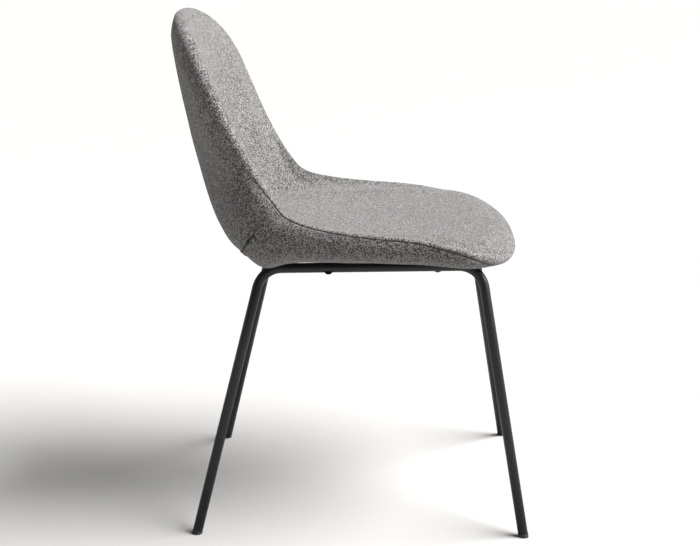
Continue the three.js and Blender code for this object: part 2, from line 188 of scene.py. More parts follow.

# %% [markdown]
# ## Melange tweed
# The cover is a plain weave of thick yarn. Every yarn is spun from light and dark grey fibres, so that
# each crossing has a grey of its own. The pattern follows the cloth through its UV map, which is in
# metres. A cell of the weave is one crossing; a random value for each cell and a fine noise make the
# speckle, and each yarn's round back and its ends under the next yarn make the relief. In the hollows
# between the yarns the colour is painted darker, as painted shade.

# %% Tweed
YARN = 0.0016
TWEED_DARK = (0.022, 0.020, 0.019, 1)
TWEED_MID = (0.091, 0.087, 0.086, 1)
TWEED_LIGHT = (0.295, 0.285, 0.282, 1)


def tweed(name):
    material, shader, place = new_finish(
        name, "UV", Roughness=0.95, Specular_IOR_Level=0.2, Sheen_Weight=0.18, Sheen_Roughness=0.55
    )
    wander = place.noise(55, 1.0)
    u, v = split(place, "XY")
    u = u / YARN + wander * 0.6
    v = v / YARN + wander * 0.6
    row, column = u.floor(), v.floor()
    half_count = (row + column) * 0.5
    warp_on_top = half_count.add("Math", {"operation": "FRACT"}, {0: half_count}).above(0.25)
    across_warp = (v * pi).sine().size()
    across_weft = (u * pi).sine().size()
    crown = warp_on_top.choose(across_weft, across_warp) * 0.65 + (across_warp * across_weft) * 0.35
    cell = row.add("CombineXYZ", None, {0: row, 1: column, 2: warp_on_top})
    own_grey = cell.add("TexWhiteNoise", {"noise_dimensions": "3D"}, {"Vector": cell})
    fibres = place.noise(1500, 3.0, 0.7)
    slubs = place.noise(430, 2.0, 0.6)
    speckle = own_grey * 0.8 + fibres * 0.42 + slubs * 0.22 - 0.22
    stops = [(0.18, TWEED_DARK), (0.47, TWEED_MID), (0.82, TWEED_LIGHT)]
    colour = speckle.add("ValToRGB", {"stops": stops}, {0: speckle})
    # Painted shade: where the crown is low, in the hollows between the yarns, the colour is mixed towards a
    # darker grey
    painted_hollow_shade = (1 - crown.between(0.0, 0.45)) * 0.35
    colour = painted_hollow_shade.choose(colour, tuple(0.5 * value for value in TWEED_DARK[:3]) + (1,))
    broad = place.noise(9, 2.0)
    colour = (broad * 0.16).choose(colour, TWEED_DARK)
    roughness = 0.98 - fibres * 0.14
    dress(shader, bump=crown * 0.7 + fibres * 0.6, depth=0.0007, strength=0.7,
          Base_Color=colour, Roughness=roughness)
    return material


inner_tweed = tweed("inner_tweed")
outer_tweed = tweed("outer_tweed")
print("tweed, yarns", YARN * 1000, "mm apart")

# %% [markdown]
# ## Powder-coated steel
# The tubes are sprayed with black powder that melts into a satin skin with a faint orange peel.
# Low swells of noise give the peel, and finer, sparse grains give the small nibs that powder leaves.

# %% Powder coat
def powder_coat():
    material, shader, place = new_finish("powder_coat", Specular_IOR_Level=0.42, IOR=1.45)
    peel = place.noise(420, 2.0, 0.5)
    nibs = place.noise(1500, 1.0).between(0.62, 0.8)
    dust = place.noise(14, 3.0, 0.6)
    colour = (dust * 0.5 + nibs * 0.3).choose((0.0050, 0.0052, 0.0057, 1), (0.0125, 0.0128, 0.0135, 1))
    dress(shader, bump=peel + nibs * 0.35, depth=0.00022, strength=0.55,
          Base_Color=colour, Roughness=0.34 + peel * 0.12 + dust * 0.06)
    return material


# %% Weld bead
def weld_coat():
    material, shader, place = new_finish("weld_coat", Specular_IOR_Level=0.5)
    scale = place.noise(700, 3.0, 0.6)
    colour = scale.choose((0.009, 0.009, 0.010, 1), (0.021, 0.021, 0.022, 1))
    dress(shader, bump=scale, depth=0.0003, strength=0.6, Base_Color=colour, Roughness=0.42 + scale * 0.14)
    return material


steel_finish = powder_coat()
weld_finish = weld_coat()
print("steel finishes ready")

# %% [markdown]
# ## The small finishes
# Glides and zip are moulded nylon with a fine eroded grain. Bolts, washers and tee nuts are zinc plated:
# a metal whose crystals scatter light in patches. The dust cover is black spunbond, a felt of fused
# fibres pressed with small dimples. The board inside is bent plywood, with plies along its edge.

# %% Nylon, zinc, spunbond, plywood, thread
def nylon(name, colour, roughness=0.5):
    material, shader, place = new_finish(name, Specular_IOR_Level=0.45)
    grain = place.noise(1800, 2.0, 0.6)
    rub = place.noise(120, 3.0, 0.7).between(0.5, 0.8)
    lighter = tuple(min(1.0, 1.9 * value + 0.01) for value in colour) + (1,)
    shade = (grain * 0.25 + rub * 0.35).choose((*colour, 1), lighter)
    dress(shader, bump=grain, depth=0.00012, strength=0.6, Base_Color=shade, Roughness=roughness + rub * 0.15)
    return material


def zinc_plate():
    material, shader, place = new_finish("zinc_plate", Metallic=1.0)
    spangle = place.add("TexVoronoi", None, {"Vector": place, "Scale": 900.0}, "Distance")
    brushed = place.noise(300, 3.0, 0.6)
    colour = (spangle * 0.5 + brushed * 0.4).choose((0.42, 0.43, 0.45, 1), (0.68, 0.69, 0.72, 1))
    dress(shader, bump=brushed, depth=0.00008, strength=0.5,
          Base_Color=colour, Roughness=0.26 + brushed * 0.2)
    return material


def spunbond():
    material, shader, place = new_finish("spunbond", "UV", Specular_IOR_Level=0.25, Sheen_Weight=0.08)
    dimple = place.add("TexVoronoi", {"feature": "F1"}, {"Vector": place, "Scale": 420.0, "Randomness": 0.15},
                       "Distance").between(0.12, 0.4)
    fibres = place.noise(1300, 4.0, 0.8)
    colour = (fibres * 0.6 + dimple * 0.2).choose((0.006, 0.006, 0.0065, 1), (0.03, 0.03, 0.032, 1))
    dress(shader, bump=dimple + fibres * 0.6, depth=0.00025, strength=0.7,
          Base_Color=colour, Roughness=0.85 + fibres * 0.12)
    return material


def bent_plywood():
    material, shader, place = new_finish("bent_plywood", Roughness=0.6, Specular_IOR_Level=0.3)
    x, y, z = split(place, "XYZ")
    stretched = place.add("VectorMath", {"operation": "MULTIPLY"}, {0: place, 1: (60.0, 6.0, 60.0)})
    grain = stretched.noise(4.0, 4.0, 0.6)
    rings = ((x * 90 + grain * 7) * pi).sine() * 0.5 + 0.5
    colour = (rings * 0.45 + grain * 0.4).choose((0.63, 0.43, 0.25, 1), (0.38, 0.22, 0.11, 1))
    dress(shader, bump=rings * 0.4 + grain, depth=0.0002, strength=0.5,
          Base_Color=colour, Roughness=0.55 + grain * 0.2)
    return material


def sewing_thread():
    material, shader, place = new_finish("sewing_thread", "UV", Specular_IOR_Level=0.35, Sheen_Weight=0.1)
    u, v = split(place, "XY")
    twist = ((u * 3 + v * 2) * (2 * pi)).sine() * 0.5 + 0.5
    fuzz = place.noise(40, 2.0)
    colour = (twist * 0.6 + fuzz * 0.3).choose((0.02, 0.019, 0.018, 1), (0.10, 0.095, 0.09, 1))
    dress(shader, bump=twist, depth=0.0001, strength=0.8, Base_Color=colour, Roughness=0.7 + fuzz * 0.15)
    return material


nylon_finish = nylon("black_nylon", (0.011, 0.011, 0.012))
zip_finish = nylon("zip_nylon", (0.006, 0.006, 0.0065), 0.38)
zinc_finish = zinc_plate()
spunbond_finish = spunbond()
plywood_finish = bent_plywood()
thread_finish = sewing_thread()
print("small finishes ready")

# %% [markdown]
# ## Making a piece
# Every new surface is an array of points worked out in millimetres, as a drawing is, and joined into
# quads. One helper turns the arrays into a mesh, with its faces pointing out and a UV map in metres.

# %% Grids and pieces
MM = 0.001


def grid_quads(rows, columns, closed=False):
    """Joins point (row, column) to its neighbours. A closed grid joins its last column to its first."""
    index = np.arange(rows * columns).reshape(rows, columns)
    beside = np.roll(index, -1, axis=1)
    quads = np.stack([index[:-1], beside[:-1], beside[1:], index[1:]], -1)
    if not closed:
        quads = quads[:, :-1]
    return quads.reshape(-1, 4)


def end_faces(rows, columns):
    """The two faces that close a grid of closed rows: its first row turned round, and its last."""
    return [list(range(columns))[::-1], [(rows - 1) * columns + i for i in range(columns)]]


def box_in_mm(node):
    """Lowest and highest corner of a node of the hard model, in millimetres."""
    return [np.array(corner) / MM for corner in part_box(node)]


def new_piece(name, points, faces, finish, uv=None, smooth=True, rider=True):
    """A mesh object from points in millimetres and faces, riding on the chair's one body."""
    mesh = bpy.data.meshes.new(name)
    mesh.from_pydata((np.asarray(points, float).reshape(-1, 3) * MM).tolist(), [], [list(f) for f in faces])
    if uv is not None:
        layer = mesh.uv_layers.new(name="cloth")
        corner = np.empty(len(mesh.loops), int)
        mesh.loops.foreach_get("vertex_index", corner)
        layer.data.foreach_set("uv", (np.asarray(uv, float).reshape(-1, 2)[corner] * MM).ravel())
    mesh.polygons.foreach_set("use_smooth", [smooth] * len(mesh.polygons))
    mesh.materials.append(finish)
    mesh.update()
    piece = bpy.data.objects.new(name, mesh)
    bpy.context.scene.collection.objects.link(piece)
    if rider:
        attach(piece, "root")
    return piece


def point_outwards(piece):
    """Merges doubled points and recalculates the normals so that they point out of the closed shape."""
    work = bmesh.new()
    work.from_mesh(piece.data)
    bmesh.ops.remove_doubles(work, verts=work.verts, dist=2e-6)
    bmesh.ops.recalc_face_normals(work, faces=work.faces)
    work.to_mesh(piece.data)
    work.free()


def use_modifier(piece, kind, name="shape", **settings):
    modifier = piece.modifiers.new(name, kind)
    for key, value in settings.items():
        setattr(modifier, key, value)
    return modifier


print("piece helpers ready")

# %% [markdown]
# ## Tubes
# A tube is a round profile carried along a path. At each point of the path, two directions square to it
# span the profile: one kept as near as possible to a chosen side direction, the other square to both.
# So the profile never twists, and no point of the path depends on the one before.

# %% Profile along a path
def unit(vectors):
    return vectors / np.linalg.norm(vectors, axis=-1, keepdims=True)


def frames_along(path, side):
    """The path's direction at each point, the side direction made square to it, and their cross."""
    ahead = unit(np.gradient(path, axis=0))
    aside = unit(side - (side * ahead).sum(-1, keepdims=True) * ahead)
    return ahead, aside, np.cross(ahead, aside)


def carried(path, profile, side, closed_ends=True):
    """Points of profile (n, 2) at each point of the path, and the quads between them, with end caps."""
    ahead, aside, up = frames_along(path, side)
    rings = path[:, None] + profile[None, :, :1] * aside[:, None] + profile[None, :, 1:] * up[:, None]
    faces = grid_quads(len(path), len(profile), closed=True).tolist()
    if closed_ends:
        faces.append(list(range(len(profile)))[::-1])
        faces.append([(len(path) - 1) * len(profile) + i for i in range(len(profile))])
    return rings.reshape(-1, 3), faces


def circle(radius, count=28):
    """A round profile: radius times (cos, sin) of equal angles."""
    angle = np.arange(count) * 2 * pi / count
    return radius * np.stack([np.cos(angle), np.sin(angle)], -1)


def rounded_corners(corners, radius, steps=14):
    """Straight runs between corners, each corner rounded by an arc that both runs touch.
    A point of the arc is its start, plus radius times (sin t along the run, 1 - cos t inwards)."""
    corners = [np.asarray(corner, float) for corner in corners]
    path = [corners[0]]
    for before, corner, after in zip(corners, corners[1:], corners[2:]):
        along = unit(corner - before)
        leaving = unit(after - corner)
        turn = np.arccos(np.clip(along @ leaving, -1, 1))
        inwards = unit(leaving - (leaving @ along) * along)
        start = corner - along * radius * tan(turn / 2)
        angle = np.linspace(0, turn, steps)[:, None]
        path.extend(start + radius * (np.sin(angle) * along + (1 - np.cos(angle)) * inwards))
    path.append(corners[-1])
    return np.array(path)


def evenly(path, step):
    """The same path with points about `step` apart, which keeps its first and last."""
    run = np.concatenate([[0], np.cumsum(np.linalg.norm(np.diff(path, axis=0), axis=1))])
    want = np.linspace(0, run[-1], int(run[-1] / step) + 2)
    return np.stack([np.interp(want, run, path[:, axis]) for axis in range(3)], -1)


# %% [markdown]
# ## Side hoops
# Each side of the chair is one tube bent twice: up the rear leg, along under the seat, down the front
# leg. The legs lean in towards the seat rail and towards each other. The tube's round ends stand in
# nylon glides. The measures repeat those of the hard model, so that rails and plates still meet it.

# %% Hoops
rail_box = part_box("cross_rail_front")
SHIFT = (rail_box[0][1] + rail_box[1][1]) / 2 / MM + 125
TUBE_RADIUS = 8.0
BEND_RADIUS = 41.0
SPLAY = radians(12.5)
LEGS = {"rear": (262.5, 226.5, radians(14.15)), "front": (-262.5, 239.5, radians(-9.15))}
RAIL_HEIGHT = 420.0
RAIL_RISE = 0.02
GLIDE_HEAD = 5.3


def leg_point(leg, side, height):
    """A point of a leg's centre line: it leans in by the splay and towards the seat by the rake."""
    y, half_width, rake = LEGS[leg]
    return np.array([side * (half_width - tan(SPLAY) * height), y + SHIFT - tan(rake) * height, height])


def hoop_path(side):
    """Up the rear leg, along the rail and down the front leg, with rounded bends."""
    corners = []
    for leg in ("rear", "front"):
        y, _, rake = LEGS[leg]
        top = leg_point(leg, side, (RAIL_HEIGHT - RAIL_RISE * y) / (1 - RAIL_RISE * tan(rake)))
        foot = leg_point(leg, side, 0)
        foot = foot + GLIDE_HEAD * unit(top - foot)
        corners += [foot, top] if leg == "rear" else [top, foot]
    return rounded_corners(corners, BEND_RADIUS)


SIDES = {"right": -1, "left": 1}
for name, side in SIDES.items():
    path = hoop_path(side)
    points, faces = carried(path, circle(TUBE_RADIUS, 40), np.array([1.0, 0, 0]))
    hoop = new_piece(f"hoop_{name}", points, faces, steel_finish)
    point_outwards(hoop)
    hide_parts(f"side_hoop_{name}")
    print(hoop.name, "path of", len(path), "points")

# %% [markdown]
# ## Cross rails, welds and plates
# Two straight tubes join the hoops, each end coped to fit round the hoop and welded. The hard model
# already has that shape, so it stays and takes the powder coat. A weld bead is a chain of overlapping
# ripples, so it is a ring whose thickness goes up and down along it, laid where tube meets tube.

# %% Weld beads
BEAD_SIDES = 10


def bead_ring(centre, axis, radius, reach, ripples=22, thickness=0.9):
    """A ring round a tube end. Around the ring (angle a) the bead is thickness times
    (1 + 0.16 |sin(ripples a / 2)|) thick, less underneath, and it follows the hoop: its place along the
    axis is the hoop's own round surface, sqrt(reach^2 - (radius sin a)^2) from the hoop's centre."""
    a = np.linspace(0, 2 * pi, 133)[:-1]
    b = np.linspace(0, 2 * pi, BEAD_SIDES + 1)[:-1]
    a, b = np.meshgrid(a, b, indexing="ij")
    fat = thickness * (1 + 0.16 * np.abs(np.sin(ripples * a / 2))) * (1 - 0.7 * np.clip(-np.sin(a), 0, 1))
    round_radius = radius + fat * np.cos(b) * 0.8
    back = np.sqrt(np.maximum(reach**2 - (round_radius * np.sin(a)) ** 2, 0))
    x = centre[0] - axis * back + axis * fat * np.sin(b) * -0.8
    y = centre[1] + round_radius * np.cos(a)
    z = centre[2] + round_radius * np.sin(a)
    return np.stack([x, y, z], -1)


def joined(parts):
    """Several (points, faces) made one, with the faces' numbers moved on."""
    points, faces, count = [], [], 0
    for some_points, some_faces in parts:
        some_points = np.asarray(some_points, float).reshape(-1, 3)
        points.append(some_points)
        faces += [[i + count for i in face] for face in some_faces]
        count += len(some_points)
    return np.concatenate(points), faces


RAILS = {"front": -125.0, "rear": 50.0}
RAIL_DROP = 2.0
BEAD_CLEARANCE = 0.6
beads = []
for y in RAILS.values():
    height = RAIL_HEIGHT - RAIL_RISE * y
    for side in SIDES.values():
        path = evenly(hoop_path(side), 1.0)
        nearest = path[np.argmin(np.abs(path[:, 1] - (y + SHIFT)) + 1000 * (path[:, 2] < 400))]
        centre = (nearest[0], y + SHIFT, height - RAIL_DROP)
        bead = bead_ring(centre, side, TUBE_RADIUS, TUBE_RADIUS + BEAD_CLEARANCE)
        quads = grid_quads(*bead.shape[:2], closed=True).tolist()
        last = (len(bead) - 1) * BEAD_SIDES
        beside = [(i + 1) % BEAD_SIDES for i in range(BEAD_SIDES)]
        wrap = [[last + i, last + beside[i], beside[i], i] for i in range(BEAD_SIDES)]
        beads.append((bead, quads + wrap))
points, faces = joined(beads)
welds = new_piece("rail_welds", points, faces, weld_finish)
point_outwards(welds)
print("weld beads", len(beads))

# %% Plates with eased corners
def rounded_plate(low, high, corner=5.0, steps=6):
    """Outline of a rectangle whose corners are quarter circles, at two heights."""
    centres = [(high[0] - corner, high[1] - corner), (low[0] + corner, high[1] - corner),
               (low[0] + corner, low[1] + corner), (high[0] - corner, low[1] + corner)]
    outline = []
    for quarter, (x, y) in enumerate(centres):
        angle = pi / 2 * (quarter + np.linspace(0, 1, steps))
        outline.append(np.stack([x + corner * np.cos(angle), y + corner * np.sin(angle)], -1))
    outline = np.concatenate(outline)
    count = len(outline)
    points = [np.column_stack([outline, np.full(count, height)]) for height in (low[2], high[2])]
    faces = grid_quads(2, count, closed=True).tolist()
    return np.concatenate(points), faces + end_faces(2, count)


for label in [f"{rail}_{name}" for rail in RAILS for name in SIDES]:
    low, high = box_in_mm(f"mount_plate_{label}")
    points, faces = rounded_plate(low, high)
    plate = new_piece(f"plate_{label}", points, faces, steel_finish, smooth=False)
    point_outwards(plate)
    use_modifier(plate, "BEVEL", width=0.0006, segments=2, limit_method="ANGLE", angle_limit=radians(50))
    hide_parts(f"mount_plate_{label}")
print("plates", len(RAILS) * len(SIDES))

# %% Socket-head bolts
def turned(profile, centre, count=32, faceted=None):
    """Turns (radius, height) rows about a vertical axis. Row i may be a hexagon instead of a circle:
    its radius is then divided by cos of the angle to the nearest flat's middle."""
    profile = np.asarray(profile, float)
    angle = np.arange(count) * 2 * pi / count
    radius = np.repeat(profile[:, :1], count, axis=1)
    if faceted is not None:
        to_flat = (angle + pi / 6) % (pi / 3) - pi / 6
        hexagon = radius * cos(pi / 6) / np.cos(to_flat)
        radius = np.where(np.asarray(faceted)[:, None], hexagon, radius)
    x = centre[0] + radius * np.cos(angle)
    y = centre[1] + radius * np.sin(angle)
    z = centre[2] + np.repeat(profile[:, 1:], count, axis=1)
    faces = grid_quads(len(profile), count, closed=True).tolist()
    return np.stack([x, y, z], -1).reshape(-1, 3), faces + end_faces(len(profile), count)


BOLT_SIDES = 36
HEAD = 5.5
HEAD_HEIGHT = 3.5
for label in [f"{rail}_{name}" for rail in RAILS for name in SIDES]:
    low, high = box_in_mm(f"bolt_{label}")
    centre = ((low[0] + high[0]) / 2, (low[1] + high[1]) / 2, low[2])
    profile = [(1.9, 2.2), (2.0, 0.35), (2.25, 0.0), (3.3, 0.0), (4.3, 0.35), (5.1, 1.1), (HEAD, 2.1),
               (HEAD, HEAD_HEIGHT - 0.2), (HEAD - 0.2, HEAD_HEIGHT), (3.0, HEAD_HEIGHT),
               (3.0, high[2] - low[2] - 0.6), (2.4, high[2] - low[2])]
    points, faces = turned(profile, centre, BOLT_SIDES, [True, True] + [False] * (len(profile) - 2))
    bolt = new_piece(f"socket_bolt_{label}", points, faces, zinc_finish, smooth=False)
    point_outwards(bolt)
    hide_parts(f"bolt_{label}")
    ring_low, ring_high = box_in_mm(f"washer_{label}")
    wide = (ring_high[0] - ring_low[0]) / 2
    thick = ring_high[2] - ring_low[2]
    profile = [(3.3, thick), (3.3, 0), (wide - 0.3, 0), (wide, 0.3), (wide, thick - 0.3), (wide - 0.3, thick)]
    points, faces = turned(profile + profile[:1], (centre[0], centre[1], ring_low[2]), BOLT_SIDES)
    washer = new_piece(f"plain_washer_{label}", points, faces[:-2], zinc_finish, smooth=False)
    point_outwards(washer)
    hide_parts(f"washer_{label}")
print("bolts and washers", len(RAILS) * len(SIDES))

# %% Finishes of the hard parts that stay
KEPT = {
    "cross_rail": steel_finish, "glide": nylon_finish,
    "tee_nut": zinc_finish, "shell_board": plywood_finish,
}
for name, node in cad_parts.items():
    for start, finish in KEPT.items():
        if name.startswith(start):
            node.data.materials.clear()
            node.data.materials.append(finish)

# %% [markdown]
# ## The shell as a surface
# The shell is a sandwich round a middle surface. A centre line runs from the nose of the seat, through
# the corner, up to the top of the back. A ridge line does the same at the side, higher on the seat and
# further forward on the back. Between them the surface rises as a power of the distance from the middle:
# flat with a late upturn on the seat, a fuller hollow on the back. A point is named by s, the distance
# along the centre line, and x, the distance across.

# %% Middle surface
# centre line y and z, ridge y and z, half width, from the nose to the top
STATIONS = np.array([
    (-255, 446, -257, 453, 231), (-170, 453, -167, 464, 250), (-85, 452, -90, 481, 245),
    (0, 450.5, -11, 489, 242), (85, 448.5, 51, 498, 235), (167, 446, 106, 514, 224),
    (214, 496, 134, 542, 216), (245, 573, 162, 590, 212), (264, 655, 196, 657, 226),
    (277, 737, 225, 727, 232), (289, 820, 238, 809, 232),
], float)
STATIONS[:, [0, 2]] += SHIFT
CORNER_AT, CORNER_BLEND = 482.0, 40.0


def smooth_line(stations, t):
    """A curve through all stations: on each span, a cubic whose slope at a station is half the step
    between the stations before and after it."""
    ends = np.vstack([2 * stations[0] - stations[1], stations, 2 * stations[-1] - stations[-2]])
    span = np.clip(np.floor(t).astype(int), 0, len(stations) - 2)
    f = (t - span)[..., None]
    a, b, c, d = (ends[span + k] for k in range(4))
    return 0.5 * (2 * b + (c - a) * f + (2 * a - 5 * b + 4 * c - d) * f**2 + (3 * b - a - 3 * c + d) * f**3)


fine_t = np.linspace(0, len(STATIONS) - 1, 900)
fine_line = smooth_line(STATIONS[:, :2], fine_t)
fine_run = np.concatenate([[0], np.cumsum(np.hypot(*np.diff(fine_line, axis=0).T))])
LENGTH = fine_run[-1]


def stations_at(s):
    return smooth_line(STATIONS, np.interp(s, fine_run, fine_t))


def backness(s):
    """0 on the seat, 1 on the back, changing smoothly round the corner."""
    return 1 / (1 + np.exp(-(s - CORNER_AT) / CORNER_BLEND))


def blend(seat, back, s):
    return seat + (back - seat) * backness(s)


def ramp(value, low, high):
    """0 up to `low`, 1 from `high` on, with a smooth step in between."""
    t = np.clip((value - low) / (high - low), 0, 1)
    return t * t * (3 - 2 * t)


def middle(s, x):
    """centre + (ridge - centre) (|x| / half width)^p, where p is 7 on the seat and 2.1 on the back."""
    station = stations_at(s)
    lift = (np.abs(x) / station[..., 4] + 1e-9) ** blend(7.0, 2.1, s)
    y = station[..., 0] + (station[..., 2] - station[..., 0]) * lift
    z = station[..., 1] + (station[..., 3] - station[..., 1]) * lift
    return np.stack([x, y, z], -1)


def normal(s, x):
    """The surface's normal, towards the sitter: across crossed with along."""
    along = middle(s + 1, x) - middle(s - 1, x)
    across = middle(s, x + 1) - middle(s, x - 1)
    return unit(np.cross(across, along))


print("centre line is", round(float(LENGTH), 1), "mm long")

# %% [markdown]
# ## Outline and rings
# Seen flat, the shell is a strip with rounded ends. Each end is a superellipse: rounder than a
# rectangle, squarer than an ellipse. Rings run parallel to this outline, close together where the cloth
# turns over the edge, and then shrink on to a line in the middle.

# %% Outline
def end_cap(depth, squareness, steps=60):
    """Inset depth (1 - cos(a)^(2/n)) and share of the half width sin(a)^(2/n)."""
    a = np.linspace(0, pi / 2, steps)
    return depth * (1 - np.cos(a) ** (2 / squareness)), np.sin(a) ** (2 / squareness)


def outline(count):
    """(s, x) of the edge, evenly spaced, from the middle of the nose round by +x to the top and back."""
    nose_inset, nose_share = end_cap(112, 2.8)
    top_inset, top_share = end_cap(120, 2.4)
    straight = np.linspace(112, LENGTH - 120, 80)[1:-1]
    s = np.concatenate([nose_inset, straight, LENGTH - top_inset[::-1]])
    share = np.concatenate([nose_share, np.ones(len(straight)), top_share[::-1]])
    x = share * stations_at(s)[:, 4]
    run = np.concatenate([[0], np.cumsum(np.hypot(np.diff(s), np.diff(x)))])
    want = np.linspace(0, run[-1], count // 2 + 1)
    s, x = np.interp(want, run, s), np.interp(want, run, x)
    return np.stack([np.r_[s, s[-2:0:-1]], np.r_[x, -x[-2:0:-1]]], -1)


ROUND_COUNT = 400
EDGE = outline(ROUND_COUNT)
edge_tangent = unit(np.roll(EDGE, -1, 0) - np.roll(EDGE, 1, 0))
INWARD = np.stack([edge_tangent[:, 1], -edge_tangent[:, 0]], -1)
INWARD *= np.sign(((np.array([LENGTH / 2, 0]) - EDGE) * INWARD).sum())
LAST_RING = 50.0
LINE_FROM, LINE_TO = 150, LENGTH - 130
line_s = np.clip((EDGE + INWARD * LAST_RING)[:, 0], LINE_FROM, LINE_TO)
middle_line = np.stack([line_s, np.zeros(len(EDGE))], -1)


def ring(inset):
    """Places of the ring `inset` from the outline, and how far in each is. Past 50 mm the inset counts
    on from 50 to 51, and the rings shrink to the middle line."""
    place = EDGE + INWARD * min(inset, LAST_RING)
    deep = np.full(len(EDGE), float(min(inset, LAST_RING)))
    if inset > LAST_RING:
        share = inset - LAST_RING
        deep += share * np.linalg.norm(middle_line - place, axis=1)
        place = place + share * (middle_line - place)
    return place, deep


step_in = EDGE + INWARD
EDGE_OUT = unit(middle(EDGE[:, 0], EDGE[:, 1]) - middle(step_in[:, 0], step_in[:, 1]))
print("outline of", len(EDGE), "points, ridge length",
      round(float(np.linalg.norm(np.diff(middle(*EDGE.T), axis=0), axis=1).sum())), "mm")

# %% [markdown]
# ## How thick the padding is
# The foam is thickest inside and thins towards the edge. On the seat and round the corner the sitter's
# side ends in a narrow roll, which stands a little proud of the sewn edge and catches the light. Up the
# back the roll grows into a full soft round. Cloth under tension is never dead even: a low noise, made
# of a few sine waves, stands for the small highs and lows that a hand can feel.

# %% Padding
EDGE_PAD = 3.0
FULLNESS = 2.6


def softness(s):
    """1 up the back, 0 round the corner and on the seat."""
    return ramp(s, 480, 630)


def noseness(s):
    """1 at the nose of the seat, 0 further in."""
    return 1 - ramp(s, 15, 110)


def cornerness(s):
    """1 beside the corner between seat and back, 0 away from it."""
    return np.exp(-(((s - 490) / 95) ** 2))


def padding(seat, back, roll_seat, roll_back, s, deep):
    """edge + (full - edge) (1 - (1 - deep / roll)^2.6)."""
    full = blend(seat, back, s)
    roll = np.clip(deep / blend(roll_seat, roll_back, s), 0, 1)
    return EDGE_PAD + (full - EDGE_PAD) * (1 - (1 - roll) ** FULLNESS)


def full_round(start, thickness, deep, full, reach):
    """From `start` inwards the thickness goes on from `thickness` to `full` as a quarter sine."""
    quarter = np.clip((deep - start) / reach, 0, 1) * pi / 2
    return thickness + (full - thickness) * np.sin(quarter)


def inner_height(s, deep):
    """The padding, with a low swell beside the roll and a valley behind it round the corner; and the
    full round up the back."""
    swell_height = 2.4 * np.exp(-(((deep - 3) / 4.5) ** 2)) * (1 - noseness(s))
    valley = 2.2 * cornerness(s) * np.exp(-(((deep - 10) / 3.6) ** 2))
    firm = padding(25, 22, 55, 60, s, deep) + swell_height - valley
    return firm + (full_round(7.7, 10.8, deep, 22, 48) - firm) * softness(s)


def outer_height(s, deep):
    """The padding, a little fuller under the heel; and full rounds under the nose and up the back."""
    heel = 7.0 * np.exp(-(((s - 406) / 17) ** 2)) - 3.4 * np.exp(-(((s - 437) / 16) ** 2))
    firm = padding(21, 20, 34, 25, s, deep) + heel * ramp(deep, 5, 40)
    firm = firm + (full_round(6.8, 15.2, deep, 21, 34) - firm) * noseness(s)
    return -(firm + (full_round(6.9, 11.5, deep, 20, 30) - firm) * softness(s))


def unevenness(s, x, seed):
    """Sum of sine waves with wavelengths from 60 to 190 mm, about 0.35 mm high."""
    random = np.random.default_rng(seed)
    total = np.zeros_like(s)
    for _ in range(14):
        wave = random.uniform(60, 190)
        heading = random.uniform(0, pi)
        phase = random.uniform(0, 2 * pi)
        total += np.sin(2 * pi / wave * (s * cos(heading) + x * sin(heading)) + phase)
    return total * 0.1


def shell_row(inset, height):
    """One row of points: `inset` inside the outline (past it where negative), `height` from the middle
    surface. Also the places on the flat strip."""
    inset = np.broadcast_to(np.asarray(inset, float), len(EDGE))
    height = np.broadcast_to(np.asarray(height, float), len(EDGE))
    place = EDGE + INWARD * np.maximum(inset, 0)[:, None]
    points = middle(*place.T) + normal(*place.T) * height[:, None]
    return points + EDGE_OUT * np.maximum(-inset, 0)[:, None], place


def face_row(inset, height, seed):
    """A row of a pad's face, whose inset may change along the outline, or count past the last ring."""
    s = EDGE[:, 0]
    if np.ndim(inset) == 0 and inset > LAST_RING:
        place, deep = ring(inset)
        lift = height(place[:, 0], deep)
        lift = lift + np.sign(lift) * unevenness(*place.T, seed)
        return middle(*place.T) + normal(*place.T) * lift[:, None], place
    deep = np.broadcast_to(np.asarray(inset, float), len(EDGE))
    place = EDGE + INWARD * np.maximum(deep, 0)[:, None]
    lift = height(place[:, 0], deep)
    return shell_row(deep, lift + np.sign(lift) * unevenness(*place.T, seed) * ramp(deep, 4, 30))


print("padding is", inner_height(np.array([250.0]), np.array([99.0])), "mm on the seat")

# %% [markdown]
# ## The two halves of the cover
# The sitter's side wraps over the edge and is sewn to the outer side in a groove that follows the edge.
# Up the back the seam lies behind the round, out of sight. Each half is a closed pad: the face that is
# seen, and a back that lies against the board. A row of the roll is a point of a small arc, blended
# into the same point of a large arc up the back.

# %% Rows of the roll
BOARD_FACE = 5.2
INNER_SEED, OUTER_SEED = 3, 8
ROLLS = {
    "firm": {"radius": 4.6, "inset": 2.8, "height": 4.2, "from": radians(-50), "to": radians(90)},
    "nose": {"radius": 12.5, "inset": 11.5, "height": -3.6, "from": radians(-68), "to": radians(50)},
    "soft": {"radius": 12.0, "inset": 11.8, "height": -0.5, "from": radians(-66), "to": radians(70)},
}
INNER_SHARES = [50.08, 50.16, 50.24, 50.32, 50.4, 50.48, 50.56, 50.64, 50.72, 50.8, 50.88, 50.95, 51]


def shared(firm, nose, soft):
    """Blends a value for the sides of the seat with one for the nose and one for the back."""
    s = EDGE[:, 0]
    return firm + (nose - firm) * noseness(s) + (soft - firm) * softness(s)


def roll_point(turn=0.0, sink=0.0):
    """Inset and height of a point of the roll, at the share `turn` of the way from the seam over its top
    and `sink` mm below its surface: inset - radius cos(a), height + radius sin(a), blended."""
    ends = []
    for roll in ROLLS.values():
        angle = roll["from"] + turn * (roll["to"] - roll["from"])
        radius = roll["radius"] - sink
        ends.append((roll["inset"] - radius * cos(angle), roll["height"] + radius * sin(angle)))
    return shared(*(end[0] for end in ends)), shared(*(end[1] for end in ends))


def roll_row(turn=0.0, sink=0.0):
    return shell_row(*roll_point(turn, sink))


